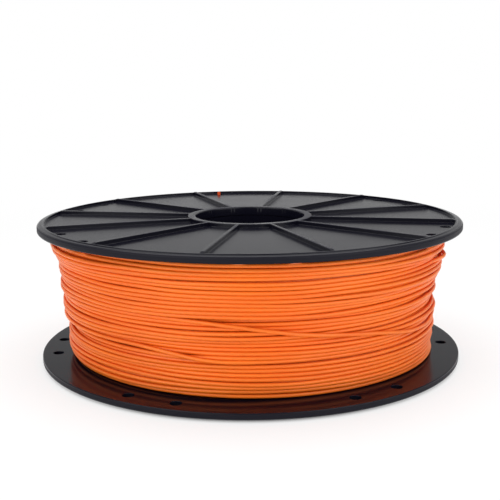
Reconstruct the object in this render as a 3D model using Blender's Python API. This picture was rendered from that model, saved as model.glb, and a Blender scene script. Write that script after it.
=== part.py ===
"""Filament spool: a moulded reel of two like flanges and a drum, wound with one strand of filament.

Metres, +Z up. The spool lies on one side: the origin is at the centre of the face that it lies on,
and the spindle bore runs along Z. The two flanges are the same moulding, one of them turned over.
"""

import math

import bmesh
import bpy
import numpy as np
from mathutils import Matrix, Vector

# Reel: what the rest is worked out from
FLANGE_RADIUS = 0.100
BORE_RADIUS = 0.026
RIM_TO_RIM = 0.0652
RIB_PROUD = 0.0008
SPOOL_WIDTH = RIM_TO_RIM + 2 * RIB_PROUD
CLEARANCE = 0.0003
TURNED_SEGMENTS = 60

# Flange moulding; heights are from the plane of its ribs, which the spool lies on
RIM_WIDTH = 0.0034
RIM_THICKNESS = 0.0032
RIM_ROUNDING = 0.0011
RIM_LIP_WIDTH = 0.0008
RIM_LIP_HEIGHT = 0.0003
RIM_LIP_CHAMFER = 0.0002
RIM_FALL = 0.00014
WEB_THICKNESS = 0.0023
FLANGE_INNER_FACE = RIB_PROUD + RIM_THICKNESS
WEB_OUTER_FACE = FLANGE_INNER_FACE - WEB_THICKNESS
RIM_INNER_RADIUS = FLANGE_RADIUS - RIM_WIDTH
RIM_LIP_FACE = RIB_PROUD - RIM_LIP_HEIGHT
COLLAR_RADIUS = BORE_RADIUS + 0.0036
COLLAR_CHAMFER = 0.0006

RIB_COUNT = 12
RIB_THICKNESS = 0.0016
RIB_FIRST_ANGLE = math.radians(15)
RIB_END_SLOPE_START = RIM_INNER_RADIUS - 0.0012
RIB_OVERLAP = 0.0006

TUCK_PAIR_COUNT = 6
TUCK_HOLE_RADIUS = 0.0025
TUCK_CIRCLE_RADIUS = 0.0927
TUCK_HALF_SPREAD = math.radians(7)
TUCK_HOLE_SIDES = 16
UPPER_FLANGE_TURN = math.radians(30)

# Winding drum
BARREL_RADIUS = 0.0515
DRUM_WALL = 0.0020
BARREL_INNER_RADIUS = BARREL_RADIUS - DRUM_WALL
SPINDLE_TUBE_RADIUS = BORE_RADIUS + DRUM_WALL
DRUM_BOTTOM = FLANGE_INNER_FACE + CLEARANCE
DRUM_TOP = SPOOL_WIDTH - DRUM_BOTTOM
DRUM_WEB_THICKNESS = 0.0016
DRUM_WEB_SETBACK = 0.0053

# Rings and hooks that hold a flange on the drum
LOCATING_RING_WALL = 0.0018
TUBE_RING_DEPTH = 0.0042
BARREL_RING_DEPTH = 0.0050
RING_LEAD_IN = 0.0005
BARREL_RING_RADIUS = BARREL_INNER_RADIUS - CLEARANCE
TUBE_RING_BORE = SPINDLE_TUBE_RADIUS + CLEARANCE
HOOK_COUNT = 6
HOOK_WIDTH = 0.0100
HOOK_THICKNESS = 0.0014
HOOK_SETBACK = 0.0004
HOOK_BARB = 0.0018
HOOK_CATCH_DEPTH = 0.0088
HOOK_BARB_LAND = 0.0006
HOOK_LENGTH = 0.0122
WINDOW_MARGIN = 0.0004

# Filament
FILAMENT_DIAMETER = 0.00175
FILAMENT_RADIUS = FILAMENT_DIAMETER / 2
WINDING_FOOT_RADIUS = 0.0862
WINDING_BODY_RADIUS = 0.0875
WINDING_SHOULDER_RADIUS = 0.0927
WINDING_FOOT_HEIGHT = 0.0100
SHOULDER_START = 0.0220
SHOULDER_END = 0.0600
LAYER_LOOPS = 24
POINTS_PER_LOOP = 24
FIRST_LOOP_HEIGHT = FLANGE_INNER_FACE + 0.0014
LAST_LOOP_HEIGHT = SPOOL_WIDTH - FLANGE_INNER_FACE - 0.0016
LEAD_BEND_RADIUS = 0.0030
TAIL_BEND_RADIUS = 0.0035
BEND_STEPS = 5
INNER_LAYERS_STATIONS = 12
LEAD_NOTCH_MARGIN = 0.0004


def clear_scene():
    """Removes whatever the file holds."""
    for item in list(bpy.data.objects):
        bpy.data.objects.remove(item, do_unlink=True)


def make_material(name, colour, roughness):
    """Makes a plastic with the given colour and roughness."""
    material = bpy.data.materials.new(name)
    material.use_nodes = True
    shader = material.node_tree.nodes["Principled BSDF"]
    shader.inputs["Base Color"].default_value = (*colour, 1.0)
    shader.inputs["Roughness"].default_value = roughness
    shader.inputs["Metallic"].default_value = 0.0
    return material


def mesh_object(name, work, material=None):
    """Turns a bmesh into an object with its faces pointing out, round faces smooth."""
    bmesh.ops.recalc_face_normals(work, faces=work.faces)
    mesh = bpy.data.meshes.new(name)
    work.to_mesh(mesh)
    work.free()
    piece = bpy.data.objects.new(name, mesh)
    bpy.context.scene.collection.objects.link(piece)
    if material is not None:
        finish_mesh(mesh, material)
    return piece


def finish_mesh(mesh, material):
    """Gives a mesh its material and smooth round faces."""
    mesh.materials.clear()
    mesh.materials.append(material)
    mesh.shade_smooth()
    mesh.set_sharp_from_angle(angle=math.radians(30))


def add_turned_ring(work, profile, segments, first_angle=0.0):
    """Turns a closed profile of (radius, height) points about Z."""
    rings = []
    for step in range(segments):
        angle = first_angle + math.tau * step / segments
        rings.append([
            work.verts.new((radius * math.cos(angle), radius * math.sin(angle), height))
            for radius, height in profile
        ])
    for step, ring in enumerate(rings):
        following = rings[(step + 1) % segments]
        for index in range(len(profile)):
            after = (index + 1) % len(profile)
            work.faces.new((ring[index], following[index], following[after], ring[after]))


def add_slab(work, outline, width, angle):
    """Adds an upright slab: an outline of (radius, height) points, turned to its angle about Z."""
    turn = Matrix.Rotation(angle, 4, "Z")
    right, left = [
        [work.verts.new(turn @ Vector((radius, side, height))) for radius, height in outline]
        for side in (-width / 2, width / 2)
    ]
    work.faces.new(right)
    work.faces.new(left[::-1])
    for index in range(len(outline)):
        after = (index + 1) % len(outline)
        work.faces.new((right[index], left[index], left[after], right[after]))


def box_outline(inner, outer, low, high):
    """Returns a rectangle of (radius, height) points."""
    return [(inner, low), (outer, low), (outer, high), (inner, high)]


def as_tool(work, name):
    """Makes a hidden shape that other pieces are cut or joined with."""
    tool = mesh_object(name, work)
    tool.hide_render = True
    tool.display_type = "WIRE"
    return tool


def combine(piece, operation, tool):
    """Cuts a piece with a tool, or joins the tool to it."""
    step = piece.modifiers.new(tool.name, "BOOLEAN")
    step.operation = operation
    step.solver = "EXACT"
    step.object = tool


def combined_mesh(piece):
    """Returns a piece's mesh with its tools applied."""
    bpy.context.view_layer.update()
    graph = bpy.context.evaluated_depsgraph_get()
    return bpy.data.meshes.new_from_object(piece.evaluated_get(graph))


def corner_arc(centre, radius, start, steps):
    """Returns a quarter circle of (radius, height) points, counter-clockwise from a start angle."""
    return [
        (
            centre[0] + radius * math.cos(start + math.pi / 2 * step / steps),
            centre[1] + radius * math.sin(start + math.pi / 2 * step / steps),
        )
        for step in range(steps + 1)
    ]


def flange_profile():
    """Returns the flange's section, with its outer face down."""
    outer_face = RIB_PROUD
    lower_corner = (FLANGE_RADIUS - RIM_ROUNDING, outer_face + RIM_FALL + RIM_ROUNDING)
    upper_corner = (FLANGE_RADIUS - RIM_ROUNDING, FLANGE_INNER_FACE - RIM_ROUNDING)
    lip_radius = RIM_INNER_RADIUS + RIM_LIP_WIDTH
    barrel_ring_top = FLANGE_INNER_FACE + BARREL_RING_DEPTH
    barrel_ring_bore = BARREL_RING_RADIUS - LOCATING_RING_WALL
    tube_ring_top = FLANGE_INNER_FACE + TUBE_RING_DEPTH
    tube_ring_radius = TUBE_RING_BORE + LOCATING_RING_WALL
    return [
        (BORE_RADIUS, FLANGE_INNER_FACE),
        (BORE_RADIUS, COLLAR_CHAMFER),
        (BORE_RADIUS + COLLAR_CHAMFER, 0.0),
        (COLLAR_RADIUS, 0.0),
        (COLLAR_RADIUS, WEB_OUTER_FACE),
        (RIM_INNER_RADIUS, WEB_OUTER_FACE),
        (RIM_INNER_RADIUS, RIM_LIP_FACE + RIM_LIP_CHAMFER),
        (RIM_INNER_RADIUS + RIM_LIP_CHAMFER, RIM_LIP_FACE),
        (lip_radius, RIM_LIP_FACE),
        (lip_radius, outer_face),
        *corner_arc(lower_corner, RIM_ROUNDING, -math.pi / 2, 3),
        *corner_arc(upper_corner, RIM_ROUNDING, 0.0, 2),
        (BARREL_RING_RADIUS, FLANGE_INNER_FACE),
        (BARREL_RING_RADIUS, barrel_ring_top - RING_LEAD_IN),
        (BARREL_RING_RADIUS - RING_LEAD_IN, barrel_ring_top),
        (barrel_ring_bore, barrel_ring_top),
        (barrel_ring_bore, FLANGE_INNER_FACE),
        (tube_ring_radius, FLANGE_INNER_FACE),
        (tube_ring_radius, tube_ring_top),
        (TUBE_RING_BORE, tube_ring_top),
        (TUBE_RING_BORE, FLANGE_INNER_FACE),
    ]


def make_ribs():
    """Makes the radial ribs of a flange's outer face, from the bore collar to the rim."""
    inner_end = COLLAR_RADIUS - RIB_OVERLAP
    outer_end = RIM_INNER_RADIUS + RIB_OVERLAP
    root = WEB_OUTER_FACE + RIB_OVERLAP
    outline = [
        (inner_end, 0.0),
        (RIB_END_SLOPE_START, 0.0),
        (outer_end, RIM_LIP_FACE + RIM_LIP_CHAMFER),
        (outer_end, root),
        (inner_end, root),
    ]
    work = bmesh.new()
    for index in range(RIB_COUNT):
        add_slab(work, outline, RIB_THICKNESS, RIB_FIRST_ANGLE + math.tau * index / RIB_COUNT)
    return as_tool(work, "rib_shapes")


def make_hooks():
    """Makes the snap hooks that rise from a flange's barrel ring."""
    face = BARREL_RING_RADIUS - HOOK_SETBACK
    back = face - HOOK_THICKNESS
    tip = face + HOOK_BARB
    catch = FLANGE_INNER_FACE + HOOK_CATCH_DEPTH
    top = FLANGE_INNER_FACE + HOOK_LENGTH
    root = FLANGE_INNER_FACE + BARREL_RING_DEPTH / 2
    outline = [
        (back, root),
        (face, root),
        (face, catch),
        (tip, catch),
        (tip, catch + HOOK_BARB_LAND),
        (face, top),
        (back, top),
    ]
    work = bmesh.new()
    for index in range(HOOK_COUNT):
        add_slab(work, outline, HOOK_WIDTH, math.tau * index / HOOK_COUNT)
    return as_tool(work, "hook_shapes")


def make_tuck_holes():
    """Makes the pairs of holes near the rim that a filament end is tucked through."""
    work = bmesh.new()
    for index in range(TUCK_PAIR_COUNT):
        for side in (-1, 1):
            angle = math.tau * index / TUCK_PAIR_COUNT + side * TUCK_HALF_SPREAD
            centre = Vector((TUCK_CIRCLE_RADIUS, 0.0, FLANGE_INNER_FACE))
            bmesh.ops.create_cone(
                work,
                cap_ends=True,
                segments=TUCK_HOLE_SIDES,
                radius1=TUCK_HOLE_RADIUS,
                radius2=TUCK_HOLE_RADIUS,
                depth=4 * WEB_THICKNESS,
                matrix=Matrix.Rotation(angle, 4, "Z") @ Matrix.Translation(centre),
            )
    return as_tool(work, "tuck_hole_shapes")


def make_flanges(material):
    """Makes the lower flange, and the upper one from the same mesh, turned over."""
    work = bmesh.new()
    add_turned_ring(work, flange_profile(), TURNED_SEGMENTS)
    blank = as_tool(work, "flange_blank")
    combine(blank, "UNION", make_ribs())
    combine(blank, "UNION", make_hooks())
    combine(blank, "DIFFERENCE", make_tuck_holes())
    mesh = combined_mesh(blank)
    finish_mesh(mesh, material)
    lower = bpy.data.objects.new("lower_flange", mesh)
    upper = bpy.data.objects.new("upper_flange", mesh)
    upper.location.z = SPOOL_WIDTH
    upper.rotation_euler = (math.pi, 0.0, UPPER_FLANGE_TURN)
    for flange in (lower, upper):
        bpy.context.scene.collection.objects.link(flange)


def make_drum(material):
    """Makes the winding drum: barrel, spindle tube, the webs between them and the hook windows."""
    work = bmesh.new()
    outline = box_outline(BARREL_INNER_RADIUS, BARREL_RADIUS, DRUM_BOTTOM, DRUM_TOP)
    add_turned_ring(work, outline, TURNED_SEGMENTS)
    drum = mesh_object("winding_drum", work, material)

    work = bmesh.new()
    outline = box_outline(BORE_RADIUS, SPINDLE_TUBE_RADIUS, DRUM_BOTTOM, DRUM_TOP)
    add_turned_ring(work, outline, TURNED_SEGMENTS)
    combine(drum, "UNION", as_tool(work, "spindle_tube_shape"))

    work = bmesh.new()
    outline = box_outline(
        SPINDLE_TUBE_RADIUS - DRUM_WALL / 2,
        BARREL_INNER_RADIUS + DRUM_WALL / 2,
        DRUM_BOTTOM + DRUM_WEB_SETBACK,
        DRUM_TOP - DRUM_WEB_SETBACK,
    )
    for index in range(RIB_COUNT):
        add_slab(work, outline, DRUM_WEB_THICKNESS, RIB_FIRST_ANGLE + math.tau * index / RIB_COUNT)
    combine(drum, "UNION", as_tool(work, "drum_web_shapes"))

    work = bmesh.new()
    low = FLANGE_INNER_FACE + HOOK_CATCH_DEPTH - CLEARANCE
    high = FLANGE_INNER_FACE + HOOK_LENGTH + WINDOW_MARGIN
    inner = BARREL_INNER_RADIUS - DRUM_WALL
    outer = BARREL_RADIUS + DRUM_WALL
    lower_window = box_outline(inner, outer, low, high)
    upper_window = box_outline(inner, outer, SPOOL_WIDTH - high, SPOOL_WIDTH - low)
    width = HOOK_WIDTH + 2 * WINDOW_MARGIN
    for index in range(HOOK_COUNT):
        angle = math.tau * index / HOOK_COUNT
        add_slab(work, lower_window, width, angle)
        add_slab(work, upper_window, width, angle + UPPER_FLANGE_TURN)
    combine(drum, "DIFFERENCE", as_tool(work, "hook_window_shapes"))


def smooth_step(low, high, value):
    """Rises smoothly from 0 at low to 1 at high."""
    part = min(max((value - low) / (high - low), 0.0), 1.0)
    return part * part * (3 - 2 * part)


def winding_radius(height):
    """Returns the winding's outer radius: drawn in at its foot, fuller under the upper flange."""
    foot_top = FLANGE_INNER_FACE + WINDING_FOOT_HEIGHT
    below = 1 - smooth_step(FLANGE_INNER_FACE, foot_top, height)
    above = smooth_step(SHOULDER_START, SHOULDER_END, height)
    foot = (WINDING_FOOT_RADIUS - WINDING_BODY_RADIUS) * below
    shoulder = (WINDING_SHOULDER_RADIUS - WINDING_BODY_RADIUS) * above
    return WINDING_BODY_RADIUS + foot + shoulder


def strand_radius(height):
    """Returns the radius of the outer strand's centre line."""
    return winding_radius(height) - FILAMENT_RADIUS


def layer_end_angle():
    """Returns the angle at which the outer layer ends and its tail bends up to a tuck hole."""
    first_pair = math.radians(90)
    hole = first_pair + TUCK_HALF_SPREAD
    return hole + math.atan(TAIL_BEND_RADIUS / strand_radius(LAST_LOOP_HEIGHT))


def outward(angle):
    """Returns the unit vector that points away from the axis at an angle."""
    return np.array([math.cos(angle), math.sin(angle), 0.0])


def forward(angle):
    """Returns the unit vector along a turn at an angle; the strand climbs clockwise."""
    return np.array([math.sin(angle), -math.cos(angle), 0.0])


def lead_points(angle):
    """Returns the strand's first stretch: straight out of the layer below, then round to the turn."""
    start = outward(angle) * strand_radius(FIRST_LOOP_HEIGHT)
    start[2] = FIRST_LOOP_HEIGHT
    points = []
    for step in range(BEND_STEPS):
        left = math.pi / 2 * (1 - step / BEND_STEPS)
        inward = LEAD_BEND_RADIUS * (1 - math.cos(left))
        back = LEAD_BEND_RADIUS * math.sin(left)
        points.append(start - outward(angle) * inward - forward(angle) * back)
    points.insert(0, points[0] - outward(angle) * FILAMENT_DIAMETER)
    return points


def tail_points(angle):
    """Returns the strand's last stretch: bent up and straight through a tuck hole."""
    end = outward(angle) * strand_radius(LAST_LOOP_HEIGHT)
    end[2] = LAST_LOOP_HEIGHT
    up = np.array([0.0, 0.0, 1.0])
    points = []
    for step in range(1, BEND_STEPS + 1):
        turn = math.pi / 2 * step / BEND_STEPS
        along = TAIL_BEND_RADIUS * math.sin(turn)
        rise = TAIL_BEND_RADIUS * (1 - math.cos(turn))
        points.append(end + forward(angle) * along + up * rise)
    points.append(points[-1] + up * FILAMENT_DIAMETER)
    return points


def layer_points(angle):
    """Returns the turns of the outer layer, climbing at a steady rate."""
    count = LAYER_LOOPS * POINTS_PER_LOOP
    points = []
    for step in range(count + 1):
        turn = angle - math.tau * step / POINTS_PER_LOOP
        height = FIRST_LOOP_HEIGHT + (LAST_LOOP_HEIGHT - FIRST_LOOP_HEIGHT) * step / count
        point = outward(turn) * strand_radius(height)
        point[2] = height
        points.append(point)
    return points


def least_gap(points):
    """Measures the least gap between a strand's surface and itself, half a turn or more along."""
    points = np.array(points)
    middles = (points[1:] + points[:-1]) / 2
    samples = np.empty((len(points) + len(middles), 3))
    samples[0::2] = points
    samples[1::2] = middles
    least = math.inf
    for index in range(len(samples) - POINTS_PER_LOOP):
        others = samples[index + POINTS_PER_LOOP:]
        distance = np.linalg.norm(others - samples[index], axis=1).min()
        least = min(least, distance - FILAMENT_DIAMETER)
    return least


def make_outer_layer(material):
    """Makes the filament's outer layer, one unbroken strand from the layer below to a tuck hole."""
    angle = layer_end_angle()
    points = lead_points(angle) + layer_points(angle) + tail_points(angle)
    gap_mm = least_gap(points) * 1000
    print(f"filament_outer_layer: least gap to itself {gap_mm:.2f} mm")
    curve = bpy.data.curves.new("filament_outer_layer", "CURVE")
    curve.dimensions = "3D"
    curve.bevel_depth = FILAMENT_RADIUS
    curve.bevel_resolution = 1
    curve.use_fill_caps = True
    curve.render_resolution_u = 0
    spline = curve.splines.new("POLY")
    spline.points.add(len(points) - 1)
    for place, point in zip(spline.points, points):
        place.co = (*point, 1.0)
    spline.use_smooth = True
    curve.materials.append(material)
    strand = bpy.data.objects.new("filament_outer_layer", curve)
    bpy.context.scene.collection.objects.link(strand)


def make_inner_layers(material):
    """Makes the inner layers: a ring that fills the reel under the outer layer's turns."""
    bottom = FLANGE_INNER_FACE + CLEARANCE
    top = SPOOL_WIDTH - bottom
    half_turn = math.pi / POINTS_PER_LOOP
    bore = (BARREL_RADIUS + CLEARANCE) / math.cos(half_turn)
    profile = [(bore, top), (bore, bottom)]
    for station in range(INNER_LAYERS_STATIONS + 1):
        height = bottom + (top - bottom) * station / INNER_LAYERS_STATIONS
        profile.append((winding_radius(height) - FILAMENT_DIAMETER - CLEARANCE, height))
    work = bmesh.new()
    add_turned_ring(work, profile, POINTS_PER_LOOP, layer_end_angle())
    layers = mesh_object("filament_inner_layers", work, material)

    floor = strand_radius(FIRST_LOOP_HEIGHT) - LEAD_BEND_RADIUS - FILAMENT_DIAMETER - CLEARANCE
    reach = FILAMENT_RADIUS + LEAD_NOTCH_MARGIN
    outline = box_outline(
        floor, WINDING_BODY_RADIUS, FIRST_LOOP_HEIGHT - reach, FIRST_LOOP_HEIGHT + reach
    )
    width = LEAD_BEND_RADIUS + reach + LEAD_NOTCH_MARGIN
    work = bmesh.new()
    add_slab(work, outline, width, 0.0)
    notch = as_tool(work, "lead_notch_shape")
    shift = Matrix.Translation((0.0, width / 2 - LEAD_NOTCH_MARGIN, 0.0))
    notch.matrix_world = Matrix.Rotation(layer_end_angle(), 4, "Z") @ shift
    combine(layers, "DIFFERENCE", notch)


def main():
    """Builds the spool."""
    clear_scene()
    black_plastic = make_material("black_plastic", (0.018, 0.018, 0.021), 0.32)
    orange_filament = make_material("orange_filament", (0.90, 0.16, 0.025), 0.38)
    make_flanges(black_plastic)
    make_drum(black_plastic)
    make_inner_layers(orange_filament)
    make_outer_layer(orange_filament)


main()
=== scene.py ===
"""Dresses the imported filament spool: fine flanges, a strand laid turn by turn, and a stage.

Metres, +Z up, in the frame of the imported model. The spool lies on its lower flange, with its bore
along Z. The file is laid out as an add-on: each operator makes one group of pieces from the sizes
and colours in the property groups, and main() runs them in order.
"""

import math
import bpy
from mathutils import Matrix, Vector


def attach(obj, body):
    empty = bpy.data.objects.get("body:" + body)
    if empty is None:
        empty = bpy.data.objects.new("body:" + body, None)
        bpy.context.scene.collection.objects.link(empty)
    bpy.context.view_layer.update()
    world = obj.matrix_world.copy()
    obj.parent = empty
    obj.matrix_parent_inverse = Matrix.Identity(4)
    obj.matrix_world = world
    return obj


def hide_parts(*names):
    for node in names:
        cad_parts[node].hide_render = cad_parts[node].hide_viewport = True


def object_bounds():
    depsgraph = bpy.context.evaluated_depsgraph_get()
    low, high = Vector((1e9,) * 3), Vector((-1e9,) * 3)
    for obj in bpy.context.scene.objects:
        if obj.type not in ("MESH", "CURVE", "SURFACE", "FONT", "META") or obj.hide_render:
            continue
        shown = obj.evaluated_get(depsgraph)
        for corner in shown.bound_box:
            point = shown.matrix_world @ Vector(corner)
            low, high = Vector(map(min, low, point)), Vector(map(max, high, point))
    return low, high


bl_info = {
    "name": "Filament spool",
    "version": (1, 0, 0),
    "blender": (4, 5, 0),
    "location": "View3D > Sidebar > Spool",
    "description": "Builds a moulded reel wound with filament, and a plain studio round it",
    "category": "Add Mesh",
}

import bmesh
import bpy
import numpy as np
from bpy.props import FloatProperty, FloatVectorProperty, IntProperty, PointerProperty
from mathutils import Euler, Matrix, Vector

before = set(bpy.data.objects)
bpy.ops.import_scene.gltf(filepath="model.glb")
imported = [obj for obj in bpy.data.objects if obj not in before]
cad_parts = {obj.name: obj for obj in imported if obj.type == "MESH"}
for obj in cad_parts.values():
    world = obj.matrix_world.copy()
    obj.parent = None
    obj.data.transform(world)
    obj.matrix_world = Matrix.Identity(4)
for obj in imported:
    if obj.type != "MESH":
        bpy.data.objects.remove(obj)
CAD_LOW, CAD_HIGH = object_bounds()

# Flange moulding: details that the reel's own sizes leave open
RIM_LIP_ROUNDING = 0.00012
RIM_FALL = 0.00014
RIM_INNER_ROUNDING = 0.0004
RIM_PARTING_STEP = 0.00004
RIB_ROUNDING = 0.00025
RIB_FILLET = 0.00018
RIB_FIRST_ANGLE = math.radians(15)
RIB_END_SLOPE = 0.0012
RIB_OVERLAP = 0.0006
WALL_DRAFT = 0.00003
ARC_STEPS = 3
RIM_ARC_STEPS = 6
RIM_INNER_ARC_STEPS = 5
CHAMFER_MIDDLE = 0.3
WEB_RADII = (
    0.0315, 0.034, 0.038, 0.043, 0.049, 0.056, 0.064, 0.072, 0.079, 0.085, 0.090, 0.0935, 0.0950
)
INNER_FACE_RADII = (0.097, 0.094, 0.090, 0.085, 0.078, 0.069, 0.060, 0.054, 0.051)
INSIDE_BARREL_RADII = (0.040, 0.034)
PANEL_FRACTIONS = (0.08, 0.2, 0.36, 0.52, 0.68, 0.84)
COLLAR_WALL = 0.0036
COLLAR_CHAMFER = 0.0006
TUCK_HALF_SPREAD = math.radians(7)
TUCK_EDGE = 0.00025
TUCK_OVERSHOOT = 4
TUCK_HOLE_SIDES = 40
UPPER_FLANGE_TURN = math.radians(30)
SHARP_ANGLE = math.radians(40)

# Rings and hooks on a flange's inner face, which hold the drum
CLEARANCE = 0.0003
DRUM_WALL = 0.0020
BARREL_RADIUS = 0.0515
BARREL_RING_RADIUS = BARREL_RADIUS - DRUM_WALL - CLEARANCE
LOCATING_RING_WALL = 0.0018
TUBE_RING_DEPTH = 0.0042
BARREL_RING_DEPTH = 0.0050
RING_LEAD_IN = 0.0005
HOOK_COUNT = 6
HOOK_WIDTH = 0.0100
HOOK_THICKNESS = 0.0014
HOOK_SETBACK = 0.0004
HOOK_BARB = 0.0018
HOOK_CATCH_DEPTH = 0.0088
HOOK_BARB_LAND = 0.0006
HOOK_LENGTH = 0.0122

# Winding: its outline, and where its outer layer starts and ends
FOOT_HEIGHT = 0.0100
SHOULDER_START = 0.0220
SHOULDER_END = 0.0600
FIRST_TURN_GAP = 0.0012
FIRST_TURN_LINGER = 1.8
LAST_TURN_GAP = 0.0014
TAIL_BEND_RADIUS = 0.0035
TAIL_BEND_STEPS = 8
TAIL_HOLE_ANGLE = math.radians(90) + TUCK_HALF_SPREAD
EASE_STATIONS = 16
LEAD_BEND_RADIUS = 0.0030
STATIONS = 144
LAYER_RISE = 0.87
UNDER_SIDES = 8
OUTER_SIDES = 12


# ---------------------------------------------------------------------------
# Sizes and colours that a user would change


def length(name, description, default):
    """Returns a property that holds a size in metres."""
    return FloatProperty(
        name=name, description=description, default=default, unit="LENGTH", precision=5
    )


def colour(name, description, default):
    """Returns a property that holds a colour."""
    return FloatVectorProperty(
        name=name, description=description, default=default, subtype="COLOR", min=0.0, max=1.0
    )


class ReelSizes(bpy.types.PropertyGroup):
    """Sizes of the moulded reel."""

    flange_radius: length("Flange radius", "Radius of both flanges", CAD_HIGH.x)
    spool_width: length("Spool width", "Width over the ribs of both flanges", CAD_HIGH.z)
    bore_radius: length("Bore radius", "Radius of the spindle bore", 0.026)
    rib_count: IntProperty(
        name="Ribs", description="Radial ribs on the outer face of each flange", default=12, min=3
    )
    rib_thickness: length("Rib thickness", "Thickness of a rib at its top", 0.0016)
    rib_proud: length("Rib stand-out", "How far the ribs stand proud of the rim", 0.0008)
    rim_width: length("Rim width", "Radial width of a flange's rim", 0.0034)
    rim_thickness: length("Rim thickness", "Thickness of a flange's rim", 0.0032)
    rim_rounding: length(
        "Rim rounding", "Rounding of the rim's edge on the flange's outer face", 0.0011
    )
    lip_width: length("Lip width", "Radial width of the lip round the inside of the rim", 0.0008)
    lip_height: length("Lip height", "How far the lip stands proud of the rim", 0.0003)
    web_thickness: length("Web thickness", "Thickness of a flange between its ribs", 0.0023)
    tuck_pairs: IntProperty(
        name="Tuck hole pairs",
        description="Pairs of holes near the rim that a filament end is tucked through",
        default=6,
        min=0,
    )
    tuck_radius: length("Tuck hole radius", "Radius of a tuck hole", 0.0025)
    tuck_circle: length(
        "Tuck hole circle", "Radius of the circle that the tuck holes lie on", 0.0927
    )


class WindingSizes(bpy.types.PropertyGroup):
    """Sizes of the wound filament."""

    strand: length("Strand diameter", "Diameter of the filament", 0.00175)
    turns: IntProperty(
        name="Turns in a layer",
        description="Turns of the outer layer, from one flange to the other",
        default=32,
        min=4,
    )
    foot_radius: length("Foot radius", "Outer radius of the winding on the lower flange", 0.0862)
    body_radius: length(
        "Body radius", "Outer radius of the winding between its foot and its shoulder", 0.0875
    )
    shoulder_radius: length(
        "Shoulder radius", "Outer radius of the winding under the upper flange", 0.0927
    )
    unevenness: length("Unevenness", "How far the layers underneath swell and dip", 0.0013)
    wander: length("Wander", "How far each turn strays from an even pitch", 0.00042)
    seed: IntProperty(
        name="Seed", description="Picks one of the ways in which the turns can lie", default=7
    )


class FinishSettings(bpy.types.PropertyGroup):
    """Colours of the plastic and the filament, and the filament's painted groove glow."""

    black: colour("Reel colour", "Colour of the moulded reel", (0.0050, 0.0048, 0.0100))
    orange: colour("Filament colour", "Colour of the filament", (0.91, 0.190, 0.012))
    orange_deep: colour(
        "Filament shade", "Deeper colour that streaks the filament", (0.84, 0.144, 0.008)
    )
    # Painted light and shade: the redder, darker colour painted into the grooves between the turns,
    # for light coming through the neighbouring turns
    orange_painted_groove_glow: colour(
        "Filament groove colour",
        "Redder colour on the sides of a strand, where light comes through its neighbours",
        (0.80, 0.085, 0.004),
    )


class StageSettings(bpy.types.PropertyGroup):
    """The floor, lamps and camera."""

    floor_colour: colour("Floor colour", "Colour of the floor", (0.9, 0.9, 0.9))
    overhead_power: FloatProperty(
        name="Overhead lamp", description="Power of the softbox overhead, in watts", default=6.4
    )
    side_power: FloatProperty(
        name="Side lamps", description="Power of each softbox at the sides, in watts", default=7.8
    )
    fill: FloatProperty(
        name="Fill", description="Strength of the even light from all round", default=0.28
    )
    lens: FloatProperty(
        name="Lens",
        description="Focal length of the camera, in millimetres on a 36 mm sensor",
        default=66.32,
    )


# ---------------------------------------------------------------------------
# Materials: expressions on values add their Math nodes

# Black plastic: marks of the ejector pins, noise scales, the values between which each effect
# rises, and how much of it goes into the paler shade, the relief and the roughness. A band is two
# depths in from the flange's radius, or two shares of the height by which the ribs stand proud.
PIN_RADII = (0.046, 0.076)
PIN_MARK_RADIUS = 0.0026
PIN_MARK_EDGE = 0.00012
PEEL_SCALE = 900.0
SMEAR_SCALE = 34.0
SPECK_SCALE = 2600.0
SCUFF_SCALES = (2600.0, 2.0, 900.0)
SCUFF_RANGE = (0.60, 0.74)
SPECK_RANGE = (0.70, 0.80)
SMEAR_RANGE = (0.35, 0.75)
RUB_RANGE = (0.42, 0.62)
CONTACT_BAND = (0.35, 0.1)
RIM_SCUFF_BAND = (0.0026, 0.0008)
RIM_FACE_BAND = (0.0005, 0.0002)
RIM_FACE_FADE = 0.0003
RIM_SCUFFS = 0.25
CONTACT_SCUFFS = 0.8
SCUFF_LIGHTENING = 3.4
SCUFF_SHADE = 0.30
RUB_SHADE = 0.30
SPECK_SHADE = 0.15
PEEL_RELIEF = 0.35
SPECK_RELIEF = 0.06
PIN_MARK_RELIEF = 1.6
SCUFF_RELIEF = 0.3
BLACK_ROUGHNESS = 0.160
SMEAR_ROUGHNESS = 0.050
SCUFF_ROUGHNESS = 0.14
RUB_ROUGHNESS = 0.16
RIM_FACE_ROUGHNESS = 0.34
BLACK_SPECULAR = 0.17
BLACK_RELIEF = 0.000008

# Orange filament: streaks that run along the strand, how much each kind goes into the shade and
# the relief, and how squarely a side faces away from the spool's axis where the painted groove glow
# starts and where it is full: a redder, darker colour on the sides that face into the grooves
# between the turns, which paints the light coming through the neighbouring turns and the shade
# between them
STREAK_ROUND = 2.4
STREAK_ACROSS = 520.0
FINE_STREAK_SCALE = 6.0
SHADE_SCALE = 26.0
SHADE_RANGE = (0.35, 0.70)
STREAK_SHADE = 0.6
SLOW_SHADE = 0.4
DULL_RANGE = (0.3, 0.7)
PAINTED_GLOW_RANGE = (0.62, 0.20)
ORANGE_ROUGHNESS = 0.35
STREAK_ROUGHNESS = 0.08
SHADE_ROUGHNESS = 0.04
GROOVE_ROUGHNESS = 0.20
ORANGE_SPECULAR = 0.40
STREAK_RELIEF = 0.7
FINE_STREAK_RELIEF = 0.3
ORANGE_RELIEF = 0.000012


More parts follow.
